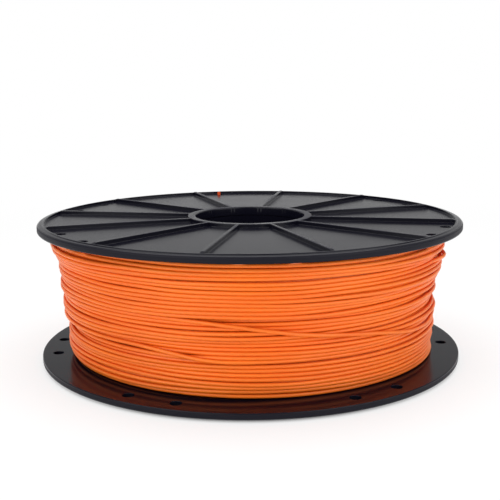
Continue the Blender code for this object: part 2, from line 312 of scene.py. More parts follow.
class Value:
    """A number that varies over a surface; an expression on it adds Math nodes."""

    def __init__(self, finish, socket):
        self.finish = finish
        self.socket = socket

    def math(self, operation, *terms):
        inputs = dict(enumerate(terms))
        node = self.finish.add("ShaderNodeMath", {"operation": operation}, inputs)
        return Value(self.finish, node.outputs[0])

    def __add__(self, other):
        return self.math("ADD", self, other)

    def __radd__(self, other):
        return self.math("ADD", other, self)

    def __sub__(self, other):
        return self.math("SUBTRACT", self, other)

    def __rsub__(self, other):
        return self.math("SUBTRACT", other, self)

    def __mul__(self, other):
        return self.math("MULTIPLY", self, other)

    def __rmul__(self, other):
        return self.math("MULTIPLY", other, self)

    def __truediv__(self, other):
        return self.math("DIVIDE", self, other)

    def __rtruediv__(self, other):
        return self.math("DIVIDE", other, self)

    def __pow__(self, other):
        return self.math("POWER", self, other)

    def greatest(self, other):
        return self.math("MAXIMUM", self, other)

    def least(self, other):
        return self.math("MINIMUM", self, other)

    def cos(self):
        return self.math("COSINE", self)

    def sin(self):
        return self.math("SINE", self)

    def angle_to(self, across):
        """The angle of the point (across, self)."""
        return self.math("ARCTAN2", self, across)

    def rest(self):
        """What is left over after the whole number."""
        return self.math("FRACT", self)

    def ramp(self, low, high):
        """Rises smoothly from 0 at low to 1 at high; the other way round if low is above high."""
        settings = {"interpolation_type": "SMOOTHSTEP"}
        rising = high > low
        ends = {1: low, 2: high} if rising else {1: high, 2: low}
        node = self.finish.add("ShaderNodeMapRange", settings, {0: self, **ends})
        result = Value(self.finish, node.outputs[0])
        return result if rising else 1 - result


class Finish:
    """A material, or the world, in the making."""

    def __init__(self, owner):
        self.owner = owner
        owner.use_nodes = True
        self.tree = owner.node_tree
        self.tree.nodes.clear()
        kind = "World" if isinstance(owner, bpy.types.World) else "Material"
        self.output = self.add(f"ShaderNodeOutput{kind}")

    def add(self, kind, settings=None, inputs=None):
        """Adds a node: its settings first, then the values or links of its sockets."""
        node = self.tree.nodes.new(kind)
        for name, value in (settings or {}).items():
            setattr(node, name, value)
        for name, value in (inputs or {}).items():
            socket = node.inputs[name]
            if isinstance(value, Value):
                value = value.socket
            if isinstance(value, bpy.types.NodeSocket):
                self.tree.links.new(value, socket)
            else:
                socket.default_value = value
        return node

    def parts(self, vector):
        """The three values of a vector socket."""
        node = self.add("ShaderNodeSeparateXYZ", None, {0: vector})
        return [Value(self, output) for output in node.outputs]

    def position(self):
        """The point on the piece, as a vector socket and as its three values."""
        vector = self.add("ShaderNodeTexCoord").outputs["Object"]
        return vector, *self.parts(vector)

    def vector(self, x, y, z):
        """A vector socket made of three values."""
        return self.add("ShaderNodeCombineXYZ", None, {0: x, 1: y, 2: z}).outputs[0]

    def noise(self, vector, scale, detail=2.0, fourth=None):
        """Noise from 0 to 1; a fourth value makes it change along one more direction."""
        settings = {"noise_dimensions": "3D" if fourth is None else "4D"}
        inputs = {"Vector": vector, "Scale": scale, "Detail": detail}
        if fourth is not None:
            inputs["W"] = fourth
        node = self.add("ShaderNodeTexNoise", settings, inputs)
        return Value(self, node.outputs[0])

    def blend(self, share, first, second):
        """A colour between two colours, either of which may be a socket."""
        ends = [
            end if isinstance(end, bpy.types.NodeSocket) else (*end, 1.0) for end in (first, second)
        ]
        inputs = {0: share, 6: ends[0], 7: ends[1]}
        return self.add("ShaderNodeMix", {"data_type": "RGBA"}, inputs).outputs[2]

    def bump(self, height, distance):
        """A normal for a surface raised by height times distance."""
        inputs = {"Strength": 1.0, "Distance": distance, "Height": height}
        return self.add("ShaderNodeBump", None, inputs).outputs[0]

    def surface(self, inputs):
        """Ends the material in one plastic surface."""
        shader = self.add("ShaderNodeBsdfPrincipled", None, inputs)
        self.tree.links.new(shader.outputs[0], self.output.inputs[0])
        return self.owner


def make_black_plastic(settings, reel):
    """Glossy moulded black plastic: faint orange peel, pin marks, scuffs, and a duller rim face."""
    finish = Finish(bpy.data.materials.new("spool_black_plastic"))
    point, x, y, z = finish.position()
    radius = (x * x + y * y) ** 0.5
    panel = math.tau / reel.rib_count
    turn = ((y.angle_to(x) / panel + 0.5).rest() - 0.5) * panel
    along, across = radius * turn.cos(), radius * turn.sin()

    marks = None
    for pin_radius in PIN_RADII:
        offset = along - pin_radius
        reach = (offset * offset + across * across) ** 0.5
        mark = reach.ramp(PIN_MARK_RADIUS, PIN_MARK_RADIUS - PIN_MARK_EDGE)
        marks = mark if marks is None else marks + mark

    peel = finish.noise(point, PEEL_SCALE)
    smear = finish.noise(point, SMEAR_SCALE, detail=4.0)
    speck = finish.noise(point, SPECK_SCALE, detail=1.0)
    across_scale, round_scale, up_scale = SCUFF_SCALES
    rubbing = finish.vector(radius * across_scale, y.angle_to(x) * round_scale, z * up_scale)
    scuff_lines = finish.noise(rubbing, 1.0, detail=3.0).ramp(*SCUFF_RANGE)

    middle = reel.spool_width / 2
    height = ((z - middle) * (z - middle)) ** 0.5
    contact = height.ramp(*(middle - reel.rib_proud * part for part in CONTACT_BAND))
    rim = radius.ramp(*(reel.flange_radius - depth for depth in RIM_SCUFF_BAND))
    rim_inside = middle - reel.rib_proud - reel.rim_thickness + RIM_INNER_ROUNDING
    rim_face = radius.ramp(*(reel.flange_radius - depth for depth in RIM_FACE_BAND))
    rim_face = rim_face * height.ramp(rim_inside, rim_inside + RIM_FACE_FADE)
    scuffs = (scuff_lines * (rim * RIM_SCUFFS + contact * CONTACT_SCUFFS)).least(1.0)
    rubbed = contact * smear.ramp(*RUB_RANGE)

    light = tuple(min(1.0, part * SCUFF_LIGHTENING) for part in settings.black)
    paler = scuffs * SCUFF_SHADE + rubbed * RUB_SHADE + speck.ramp(*SPECK_RANGE) * SPECK_SHADE
    relief = (
        peel * PEEL_RELIEF
        + speck * SPECK_RELIEF
        + marks * PIN_MARK_RELIEF
        + scuffs * SCUFF_RELIEF
    )
    roughness = (
        BLACK_ROUGHNESS
        + smear.ramp(*SMEAR_RANGE) * SMEAR_ROUGHNESS
        + scuffs * SCUFF_ROUGHNESS
        + rubbed * RUB_ROUGHNESS
        + rim_face * RIM_FACE_ROUGHNESS
    )
    return finish.surface({
        "Base Color": finish.blend(paler.least(1.0), settings.black, light),
        "Roughness": roughness,
        "Specular IOR Level": BLACK_SPECULAR,
        "Normal": finish.bump(relief, BLACK_RELIEF),
    })


def make_orange_filament(settings):
    """Satin extruded plastic: streaks along the strand, and a painted redder, darker glow in the
    grooves between the turns.
    """
    finish = Finish(bpy.data.materials.new("spool_orange_filament"))
    point, x, y, z = finish.position()
    radius = (x * x + y * y) ** 0.5
    angle = y.angle_to(x)
    around = finish.vector(
        angle.cos() * STREAK_ROUND, angle.sin() * STREAK_ROUND, z * STREAK_ACROSS
    )
    streak = finish.noise(around, 1.0, detail=3.0, fourth=radius * STREAK_ACROSS)
    fine = finish.noise(around, FINE_STREAK_SCALE, fourth=radius * STREAK_ACROSS)
    slow = finish.noise(point, SHADE_SCALE)
    deeper = streak.ramp(*SHADE_RANGE) * STREAK_SHADE + slow.ramp(*SHADE_RANGE) * SLOW_SHADE

    # Painted glow and shade: where a strand's side faces up or down into a groove, its colour turns
    # redder and darker, standing in for light coming through the neighbouring turns
    normal_x, normal_y, _ = finish.parts(finish.add("ShaderNodeNewGeometry").outputs["Normal"])
    outward = (x * normal_x + y * normal_y) / radius
    groove = outward.ramp(*PAINTED_GLOW_RANGE)
    roughness = (
        ORANGE_ROUGHNESS
        + streak.ramp(*DULL_RANGE) * STREAK_ROUGHNESS
        + slow.ramp(*DULL_RANGE) * SHADE_ROUGHNESS
        + groove * GROOVE_ROUGHNESS
    )
    shade = finish.blend(deeper.least(1.0), settings.orange, settings.orange_deep)
    return finish.surface({
        # The painted groove glow and shade is blended over the filament's streaked colour
        "Base Color": finish.blend(groove, shade, settings.orange_painted_groove_glow),
        "Roughness": roughness,
        "Specular IOR Level": ORANGE_SPECULAR,
        "Normal": finish.bump(
            streak * STREAK_RELIEF + fine * FINE_STREAK_RELIEF, ORANGE_RELIEF
        ),
    })


class SPOOL_OT_finishes(bpy.types.Operator):
    """Make the materials of the reel and the filament"""

    bl_idname = "spool.finishes"
    bl_label = "Materials"

    def execute(self, context):
        scene = context.scene
        make_black_plastic(scene.spool_finish, scene.spool_reel)
        make_orange_filament(scene.spool_finish)
        return {"FINISHED"}


# ---------------------------------------------------------------------------
# Mesh helpers


def add_piece(name, mesh, material):
    """Links a mesh to the scene as a piece with smooth round faces."""
    mesh.materials.clear()
    mesh.materials.append(material)
    mesh.shade_smooth()
    mesh.set_sharp_from_angle(angle=SHARP_ANGLE)
    piece = bpy.data.objects.new(name, mesh)
    bpy.context.scene.collection.objects.link(piece)
    return piece


def mesh_from(work, name):
    """Turns a bmesh into a mesh with its faces pointing out."""
    bmesh.ops.recalc_face_normals(work, faces=work.faces)
    mesh = bpy.data.meshes.new(name)
    work.to_mesh(mesh)
    work.free()
    return mesh


def rings_mesh(name, shapes, joined_up=False):
    """Makes a mesh of shapes, each a list of rings of points that are joined one to the next.

    A shape ends in caps, or goes on from its last ring to its first if it is joined up.
    """
    work = bmesh.new()
    for rings in shapes:
        rows = [[work.verts.new(point) for point in points] for points in rings]
        pairs = list(zip(rows, rows[1:]))
        if joined_up:
            pairs.append((rows[-1], rows[0]))
        for row, following in pairs:
            for index in range(len(row)):
                after = (index + 1) % len(row)
                work.faces.new((row[index], row[after], following[after], following[index]))
        if not joined_up:
            work.faces.new(rows[0])
            work.faces.new(rows[-1][::-1])
    return mesh_from(work, name)


def combined(mesh, tools):
    """Returns a mesh cut by or joined to other meshes, given as (operation, mesh) pairs."""
    base = bpy.data.objects.new(mesh.name, mesh)
    bpy.context.scene.collection.objects.link(base)
    helpers = [base]
    for operation, shape in tools:
        helper = bpy.data.objects.new(shape.name, shape)
        bpy.context.scene.collection.objects.link(helper)
        helpers.append(helper)
        step = base.modifiers.new(shape.name, "BOOLEAN")
        step.operation = operation
        step.solver = "EXACT"
        step.object = helper
    bpy.context.view_layer.update()
    graph = bpy.context.evaluated_depsgraph_get()
    result = bpy.data.meshes.new_from_object(base.evaluated_get(graph))
    for helper in helpers:
        bpy.data.objects.remove(helper, do_unlink=True)
    return result


def ring(radius, angles, height):
    """Returns a ring of points; the radius and the height may differ from angle to angle."""
    height = np.broadcast_to(height, angles.shape)
    return np.stack([radius * np.cos(angles), radius * np.sin(angles), height], axis=1)


def smooth_step(low, high, value):
    """Rises smoothly from 0 at low to 1 at high."""
    part = np.clip((value - low) / (high - low), 0.0, 1.0)
    return part * part * (3 - 2 * part)


def arc(centre, radius, start, end, steps=ARC_STEPS):
    """Returns points along an arc, angles in degrees."""
    angles = np.radians(np.linspace(start, end, steps + 1))
    return [(centre[0] + radius * math.cos(a), centre[1] + radius * math.sin(a)) for a in angles]


def moulded_step(edge, height, rounding, fillet):
    """Returns the section of a step down from a flat top: rounded edge, drafted wall, fillet."""
    root = edge + WALL_DRAFT + fillet
    return [
        *arc((edge - rounding, height - rounding), rounding, 90, 0),
        *arc((root, fillet), fillet, 180, 270),
    ]


# ---------------------------------------------------------------------------
# Flanges


class FlangeShape:
    """The flange's section and the columns of points that its ribs need."""

    def __init__(self, reel):
        self.reel = reel
        self.inner_face = reel.rib_proud + reel.rim_thickness
        self.web_face = self.inner_face - reel.web_thickness
        self.rim_inner = reel.flange_radius - reel.rim_width
        self.rim_height = self.web_face - reel.rib_proud
        self.lip_height = self.rim_height + reel.lip_height
        self.collar = reel.bore_radius + COLLAR_WALL
        self.sector = math.tau / reel.rib_count
        half = reel.rib_thickness / 2
        step = moulded_step(half, self.web_face, RIB_ROUNDING, RIB_FILLET)
        self.rib_offsets = np.array([distance for distance, _ in step])
        self.rib_heights = np.array([height for _, height in step])

    def columns(self, radius):
        """Returns the angles of one ring's points and how far the ribs stand up at each."""
        near = np.arcsin(self.rib_offsets / radius)
        room = self.sector / 2 - near[-1]
        half = np.concatenate([near, near[-1] + room * np.array(PANEL_FRACTIONS)])
        heights = np.concatenate([self.rib_heights, np.zeros(len(PANEL_FRACTIONS))])
        angles = np.concatenate([[-self.sector / 2], -half[::-1], [0.0], half])
        raised = np.concatenate([[0.0], heights[::-1], [self.web_face], heights])
        starts = RIB_FIRST_ANGLE + self.sector * np.arange(self.reel.rib_count)
        return (starts[:, None] + angles).ravel(), np.tile(raised, self.reel.rib_count)

    def rib_top(self, radius):
        """Returns how far a rib's top stands above the web, sloping down to the rim's lip."""
        outer_end = self.rim_inner + RIB_OVERLAP
        end_height = self.lip_height - RIM_LIP_ROUNDING
        return np.interp(
            radius, [self.rim_inner - RIB_END_SLOPE, outer_end], [self.web_face, end_height]
        )

    def outer_rows(self):
        """Returns the outer face as (radius, height above the web), from the bore to the rim."""
        reel = self.reel
        bore = reel.bore_radius
        chamfer_middle = COLLAR_CHAMFER * CHAMFER_MIDDLE
        lip = moulded_step(0.0, self.lip_height, RIM_LIP_ROUNDING, RIB_FILLET)
        shoulder = moulded_step(
            self.rim_inner + reel.lip_width, reel.lip_height, RIM_LIP_ROUNDING, RIM_LIP_ROUNDING / 2
        )
        corner = (
            reel.flange_radius - reel.rim_rounding, self.rim_height - RIM_FALL - reel.rim_rounding
        )
        return [
            (bore, self.web_face - COLLAR_CHAMFER),
            (bore + chamfer_middle, self.web_face - chamfer_middle),
            (bore + COLLAR_CHAMFER, self.web_face),
            *moulded_step(self.collar, self.web_face, RIB_ROUNDING, RIB_FILLET),
            *((radius, 0.0) for radius in (*WEB_RADII, self.rim_inner - RIB_END_SLOPE)),
            *((self.rim_inner - distance, height) for distance, height in lip[::-1]),
            *((radius, self.rim_height + height) for radius, height in shoulder),
            *arc(corner, reel.rim_rounding, 90, 0, RIM_ARC_STEPS),
        ]

    def inner_rows(self):
        """Returns the rim's outer face, the inner face and its rings as (radius, height)."""
        reel = self.reel
        face = self.inner_face
        edge = reel.flange_radius
        parting = reel.rib_proud + reel.rim_thickness / 2
        corner = (edge - RIM_INNER_ROUNDING, face - RIM_INNER_ROUNDING)
        barrel_top, tube_top = face + BARREL_RING_DEPTH, face + TUBE_RING_DEPTH
        barrel_bore = BARREL_RING_RADIUS - LOCATING_RING_WALL
        tube_bore = reel.bore_radius + DRUM_WALL + CLEARANCE
        return [
            (edge, parting - RIM_PARTING_STEP),
            (edge - RIM_PARTING_STEP, parting),
            (edge, parting + RIM_PARTING_STEP),
            *arc(corner, RIM_INNER_ROUNDING, 0, 90, RIM_INNER_ARC_STEPS),
            *((radius, face) for radius in INNER_FACE_RADII),
            (BARREL_RING_RADIUS, face),
            (BARREL_RING_RADIUS, barrel_top - RING_LEAD_IN),
            (BARREL_RING_RADIUS - RING_LEAD_IN, barrel_top),
            (barrel_bore, barrel_top),
            (barrel_bore, face),
            *((radius, face) for radius in INSIDE_BARREL_RADII),
            (tube_bore + LOCATING_RING_WALL, face),
            (tube_bore + LOCATING_RING_WALL, tube_top),
            (tube_bore, tube_top),
            (tube_bore, face),
            (reel.bore_radius, face),
        ]

    def blank(self):
        """Makes the flange without its hooks and holes, outer face down."""
        rings = []
        ribs_end = self.rim_inner + self.reel.lip_width
        for radius, height in self.outer_rows():
            angles, raised = self.columns(radius)
            ribs = np.minimum(raised, self.rib_top(radius))
            if self.collar - RIB_OVERLAP < radius < ribs_end:
                height = np.maximum(height, ribs)
            rings.append(ring(radius, angles, self.web_face - height))
        for radius, height in self.inner_rows():
            rings.append(ring(radius, self.columns(radius)[0], height))
        return rings_mesh("flange_blank", [rings], joined_up=True)

    def hooks(self):
        """Makes the snap hooks that rise from the barrel ring."""
        face = BARREL_RING_RADIUS - HOOK_SETBACK
        back, tip = face - HOOK_THICKNESS, face + HOOK_BARB
        catch, top = self.inner_face + HOOK_CATCH_DEPTH, self.inner_face + HOOK_LENGTH
        root = self.inner_face + BARREL_RING_DEPTH / 2
        outline = [(back, root), (face, root), (face, catch), (tip, catch),
                   (tip, catch + HOOK_BARB_LAND), (face, top), (back, top)]
        sides = (-HOOK_WIDTH / 2, HOOK_WIDTH / 2)
        hooks = []
        for index in range(HOOK_COUNT):
            turn = Matrix.Rotation(math.tau * index / HOOK_COUNT, 4, "Z")
            hooks.append([
                [turn @ Vector((reach, side, height)) for reach, height in outline]
                for side in sides
            ])
        return rings_mesh("hook_shapes", hooks)

    def tuck_holes(self):
        """Makes the shapes of the tuck holes, with broken edges on both faces of the web."""
        reel = self.reel
        radius = reel.tuck_radius
        wide = radius + TUCK_EDGE
        middle = TUCK_EDGE * CHAMFER_MIDDLE
        beyond = TUCK_EDGE * TUCK_OVERSHOOT
        section = [
            (wide + beyond, self.web_face - beyond),
            (wide, self.web_face),
            (radius + middle, self.web_face + middle),
            (radius, self.web_face + TUCK_EDGE),
            (radius, self.inner_face - TUCK_EDGE),
            (radius + middle, self.inner_face - middle),
            (wide, self.inner_face),
            (wide + beyond, self.inner_face + beyond),
        ]
        angles = math.tau * np.arange(TUCK_HOLE_SIDES) / TUCK_HOLE_SIDES
        holes = []
        for index in range(reel.tuck_pairs):
            for side in (-1, 1):
                place = math.tau * index / reel.tuck_pairs + side * TUCK_HALF_SPREAD
                centre = np.array([math.cos(place), math.sin(place), 0.0]) * reel.tuck_circle
                holes.append([ring(reach, angles, height) + centre for reach, height in section])
        return rings_mesh("tuck_hole_shapes", holes)


class SPOOL_OT_flanges(bpy.types.Operator):
    """Make both flange mouldings"""

    bl_idname = "spool.flanges"
    bl_label = "Flanges"

    def execute(self, context):
        reel = context.scene.spool_reel
        shape = FlangeShape(reel)
        tools = [("UNION", shape.hooks()), ("DIFFERENCE", shape.tuck_holes())]
        lower_mesh = combined(shape.blank(), tools)
        upper_mesh = lower_mesh.copy()
        turned_over = Matrix.Translation((0.0, 0.0, reel.spool_width))
        turned_over @= Euler((math.pi, 0.0, UPPER_FLANGE_TURN)).to_matrix().to_4x4()
        upper_mesh.transform(turned_over)
        material = bpy.data.materials["spool_black_plastic"]
        for side, mesh in (("lower", lower_mesh), ("upper", upper_mesh)):
            flange = add_piece(f"{side}_flange_moulding", mesh, material)
            even = flange.modifiers.new("even_shading", "WEIGHTED_NORMAL")
            even.keep_sharp = True
            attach(flange, "root")
            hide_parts(f"{side}_flange")
        return {"FINISHED"}


class SPOOL_OT_drum(bpy.types.Operator):
    """Finish the winding drum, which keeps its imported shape"""

    bl_idname = "spool.drum"
    bl_label = "Winding drum"

    def execute(self, context):
        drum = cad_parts["winding_drum"]
        drum.data.materials.clear()
        drum.data.materials.append(bpy.data.materials["spool_black_plastic"])
        return {"FINISHED"}


# ---------------------------------------------------------------------------
# Winding

# Places where two neighbouring turns stand apart: height, azimuth and half length in degrees,
# how far apart, and how far the turns there rise over the half length. A negative distance draws
# the turns together where one has left its place.
OPENINGS = (
    (0.0585, -90, 16, 0.00045, 0.0),
    (0.0550, -95, 22, 0.00055, 0.0),
    (0.0545, -121, 16, 0.00070, -0.0010),
    (0.0493, -130, 14, 0.00070, 0.0009),
    (0.0440, -136, 22, 0.00060, -0.0006),
    (0.0452, -117, 10, 0.00050, -0.0005),
    (0.0430, -95, 16, 0.00050, 0.0),
    (0.0470, -76, 13, 0.00060, 0.0015),
    (0.0405, -68, 18, 0.00070, 0.0),
    (0.0383, -93, 24, 0.00080, -0.0002),
    (0.0363, -148, 12, 0.00060, 0.0),
    (0.0365, -42, 11, 0.00090, 0.0010),
    (0.0320, -98, 14, 0.00060, 0.0),
    (0.0312, -145, 12, 0.00050, 0.0),
    (0.0235, -119, 10, 0.00060, -0.0008),
    (0.0190, -87, 18, 0.00090, 0.0),
    (0.0205, -66, 11, 0.00060, 0.0),
    (0.0110, -128, 16, 0.00060, 0.0),
    (0.0122, -85, 10, 0.00060, -0.0005),
    (0.0088, -66, 11, 0.00050, 0.0),
    (0.0565, -36, 11, 0.00080, 0.0012),
    (0.0165, -26, 8, 0.00090, 0.0),
    (0.0215, -33, 7, 0.00080, 0.0),
    (0.0460, 30, 60, 0.00060, 0.0),
    (0.0290, 95, 55, 0.00070, 0.0),
    (0.0160, 150, 60, 0.00080, 0.0),
    (0.0500, 165, 45, 0.00070, 0.0),
    (0.0375, -45, 62, -0.00160, 0.0),
    (0.0373, 100, 110, -0.00160, 0.0),
    (0.0203, -200, 100, -0.00160, 0.0),
)
OPENING_REACH = 0.0060
OPENING_FULL = 0.35

# Turns that leave their place and cross over others: turn, the azimuths in degrees between which
# it moves, and how far up; the azimuth falls as the strand climbs
CROSSINGS = (
    (8, -97, -128, 0.0050),
    (8, -185, -350, -0.0050),
    (18, 215, 5, -0.0135),
    (18, -19, -32, -0.0037),
    (18, -29, -60, 0.0082),
    (18, -50, -116, 0.0088),
)
CROSSING_RAISE = 0.0022
CROSSING_START = 0.0006

# The turn that stands out like a loop, at the right in the front view
LOOP_TURN = 26
LOOP_ANGLE = -20
LOOP_HALF_WIDTH = 12
LOOP_DEPTH = 0.0024

# Where the layers underneath are fuller or leaner: height and its reach, azimuth and its reach in
# degrees, and by how much
SWELLS = (
    (0.0570, 0.0040, 188, 60, 0.0016),
    (0.0480, 0.0030, 188, 60, -0.0012),
    (0.0297, 0.0030, 188, 60, 0.0015),
    (0.0220, 0.0030, 188, 60, -0.0007),
    (0.0170, 0.0040, 188, 60, -0.0004),
    (0.0545, 0.0024, -15, 50, -0.0030),
    (0.0382, 0.0016, -15, 40, 0.0006),
    (0.0430, 0.0050, -15, 50, -0.0009),
    (0.0345, 0.0035, -15, 50, -0.0016),
    (0.0310, 0.0110, -15, 60, -0.0005),
    (0.0225, 0.0030, -15, 50, -0.0007),
)

# How the turns stray, swell and are drawn together
START_SLACK = 0.0004
SETTLE_ROUNDS = 260
SETTLE_PULL = 0.000012
SETTLE_GUIDE = 0.03
SETTLE_EASE = 0.30
SETTLE_STIFFNESS = 0.18
LEAST_APART = 1e-9
UNDER_STATION_STEP = 2
STRAY_STATIONS = 17
STRAY_SPREAD = 0.6
SWELL_WAVES = 9
SWELL_MOST_ROUNDS = 4
SWELL_LENGTHS = (0.005, 0.013)
SWELL_SPREAD = 3
CORE_ROWS_PER_TURN = 6
CORE_COLUMNS = 120


def outer_radius(sizes, height, inner_face):
    """Returns the winding's outer radius: drawn in at its foot, fuller under the upper flange."""
    below = 1 - smooth_step(inner_face, inner_face + FOOT_HEIGHT, height)
    above = smooth_step(SHOULDER_START, SHOULDER_END, height)
    foot = (sizes.foot_radius - sizes.body_radius) * below
    shoulder = (sizes.shoulder_radius - sizes.body_radius) * above
    return sizes.body_radius + foot + shoulder


def turned_from(angle, degrees):
    """Returns how far angles lie from one in degrees, in degrees from -180 to 180."""
    return (np.degrees(angle) - degrees + 180) % 360 - 180


def stray(random, turns):
    """Returns a smooth random value from about -1 to 1 along a strand, with a row for each turn."""
    count = turns * STATIONS
    knots = random.normal(0, STRAY_SPREAD, count // STRAY_STATIONS + 3)
    places = np.arange(count) / STRAY_STATIONS
    start = places.astype(int)
    part = places - start
    part = part * part * (3 - 2 * part)
    values = knots[start] * (1 - part) + knots[start + 1] * part
    return values.reshape(turns, STATIONS)


class Winding:
    """The two outermost layers of one strand: the under layer runs down, the outer one climbs.

    Seen from above the strand is laid clockwise, so its azimuth falls along it.
    """

    def __init__(self, reel, sizes):
        self.sizes = sizes
        self.inner_face = reel.rib_proud + reel.rim_thickness
        self.width = reel.spool_width
        self.first = self.inner_face + FIRST_TURN_GAP
        self.last = reel.spool_width - self.inner_face - LAST_TURN_GAP
        self.pitch = (self.last - self.first) / sizes.turns
        self.top_radius = float(self.rest_radius(self.last))
        self.start_angle = TAIL_HOLE_ANGLE + math.atan(TAIL_BEND_RADIUS / self.top_radius)
        self.outward = np.array([math.cos(self.start_angle), math.sin(self.start_angle), 0.0])
        self.forward = np.array([self.outward[1], -self.outward[0], 0.0])
        self.angle = self.start_angle - math.tau * np.arange(STATIONS) / STATIONS
        random = np.random.default_rng(sizes.seed)
        self.waves = [
            (
                int(random.integers(0, SWELL_MOST_ROUNDS)),
                random.uniform(*SWELL_LENGTHS),
                *random.uniform(0, math.tau, 2),
            )
            for _ in range(SWELL_WAVES)
        ]
        self.lay(random)

    def rest_radius(self, height):
        """Returns the radius at which the outer layer's centre line lies."""
        return outer_radius(self.sizes, height, self.inner_face) - self.sizes.strand / 2

    def swollen_radius(self, angle, height):
        """Returns the same with the places where the layers underneath are fuller or leaner."""
        radius = self.rest_radius(height)
        for at_height, rise, azimuth, reach, amount in SWELLS:
            up = (height - at_height) / rise
            off = turned_from(angle, azimuth) / reach
            radius = radius + amount * np.exp(-up * up - off * off)
        return radius

    def floor_radius(self, angle, height):
        """Returns the least radius of a centre line: the layers below swell and dip."""
        swell = sum(
            np.sin(rounds * angle + phase) * np.sin(math.tau * height / wave + lag)
            for rounds, wave, phase, lag in self.waves
        )
        rest = self.swollen_radius(angle, height) - LAYER_RISE * self.sizes.strand
        return rest + self.sizes.unevenness * swell / SWELL_SPREAD

    def lay(self, random):
        """Works out the height and radius of every turn; rows are turns, columns stations."""
        sizes = self.sizes
        turns = sizes.turns
        turned = (np.arange(turns * STATIONS) / STATIONS).reshape(turns, STATIONS)
        angle = np.broadcast_to(self.angle, turned.shape)
        climb = self.first + self.pitch * np.where(turned < 1, turned ** FIRST_TURN_LINGER, turned)

        outer = climb.copy()
        for at_height, azimuth, half, gap, tilt in OPENINGS:
            off = turned_from(angle, azimuth) / half
            share = 1 - smooth_step(OPENING_FULL, 1.0, np.abs(off))
            away = climb - at_height - tilt * np.clip(off, -1, 1)
            near = np.exp(-np.abs(away) / OPENING_REACH)
            outer += (np.sign(away) * gap / 2 + tilt * np.clip(off, -1, 1)) * share * near
        outer += sizes.wander * stray(random, turns)

        moved = np.zeros(climb.shape)
        for turn, start, end, rise in CROSSINGS:
            along = np.degrees(self.start_angle) - 360 * (turned - turn)
            moved += rise * smooth_step(start, end, along)
        outer += moved
        raised = CROSSING_RAISE * smooth_step(0.0, CROSSING_START, np.abs(moved))

        under = self.last - self.pitch * turned
        under += sizes.wander * stray(random, turns)
        heights = np.concatenate([under, outer])
        rest = self.swollen_radius(angle, climb) + START_SLACK
        radii = np.concatenate([self.floor_radius(angle, under), rest + raised])
        self.settle(heights, radii)

        off = np.abs(turned_from(angle[LOOP_TURN], LOOP_ANGLE)) / LOOP_HALF_WIDTH
        radii[turns + LOOP_TURN] += LOOP_DEPTH * (1 - smooth_step(0.0, 1.0, off))
        self.heights, self.radii = heights, radii

    def settle(self, heights, radii):
        """Draws the turns inward until they rest on each other.

        A strand is stiff, so it is evened along its whole length, from row to row.
        """
        strand = self.sizes.strand
        target = heights.copy()
        floor = self.floor_radius(self.angle, target)
        low = self.inner_face + CLEARANCE + strand / 2
        high = self.width - low
        lines = heights.reshape(-1), radii.reshape(-1)
        for _ in range(SETTLE_ROUNDS):
            radii -= SETTLE_PULL
            heights += SETTLE_GUIDE * (target - heights)
            rise = heights[:, None] - heights[None]
            reach = radii[:, None] - radii[None]
            apart = np.sqrt(rise * rise + reach * reach) + LEAST_APART
            push = np.clip(strand - apart, 0, None) / apart * SETTLE_EASE
            heights += (push * rise).sum(axis=1)
            radii += (push * reach).sum(axis=1)
            for line in lines:
                line[1:-1] += SETTLE_STIFFNESS * (line[:-2] - 2 * line[1:-1] + line[2:])
            np.clip(heights, low, high, out=heights)
            np.maximum(radii, floor, out=radii)

    def points(self, first_turn, end_turn):
        """Returns the centre line of some rows of turns."""
        radii = self.radii[first_turn:end_turn].ravel()
        heights = self.heights[first_turn:end_turn].ravel()
        return ring(radii, np.tile(self.angle, end_turn - first_turn), heights)

    def outer_points(self):
        """Returns the outer layer, from where it leaves the layer below to its tucked end."""
        turns = self.sizes.turns
        points = self.points(turns, 2 * turns)
        up = np.array([0.0, 0.0, 1.0])
        end = self.top_radius * self.outward + self.last * up
        share = smooth_step(0, 1, np.arange(1, EASE_STATIONS + 1) / EASE_STATIONS)[:, None]
        heights = self.last - self.pitch * np.arange(EASE_STATIONS, 0, -1) / STATIONS
        planned = ring(self.top_radius, self.angle[-EASE_STATIONS:], heights)
        points[-EASE_STATIONS:] += share * (planned - points[-EASE_STATIONS:])
        bend = [
            end + TAIL_BEND_RADIUS * (math.sin(turn) * self.forward + (1 - math.cos(turn)) * up)
            for turn in np.linspace(0, math.pi / 2, TAIL_BEND_STEPS + 1)
        ]
        return np.concatenate([points, bend, [bend[-1] + up * self.sizes.strand]])

    def under_points(self):
        """Returns the under layer, up to where the outer layer goes on."""
        turns = self.sizes.turns
        points = self.points(0, turns)[::UNDER_STATION_STEP]
        bend = [
            points[0] - LEAD_BEND_RADIUS * (
                (1 - math.cos(turn)) * self.outward + math.sin(turn) * self.forward
            )
            for turn in np.linspace(math.pi / 2, 0, TAIL_BEND_STEPS, endpoint=False)
        ]
        return np.concatenate([bend, points, self.points(turns, turns + 1)[:1]])

    def core_rings(self, barrel):
        """Returns the rings of the layers below: a body ridged like the turns on it."""
        strand = self.sizes.strand
        low = self.inner_face + CLEARANCE
        high = self.width - low
        rows = CORE_ROWS_PER_TURN * self.sizes.turns
        angles = self.start_angle + math.tau * np.arange(CORE_COLUMNS) / CORE_COLUMNS
        rings = [ring(barrel + CLEARANCE, angles, height) for height in (high, low)]
        for height in np.linspace(low, high, rows + 1):
            across = ((height - low) / self.pitch + (angles - self.start_angle) / math.tau) % 1.0
            ridge = strand / 2 * (np.sqrt(1 - (2 * across - 1) ** 2) - 1)
            radius = self.floor_radius(angles, height) - strand / 2 + ridge
            rings.append(ring(radius, angles, height))
        return rings


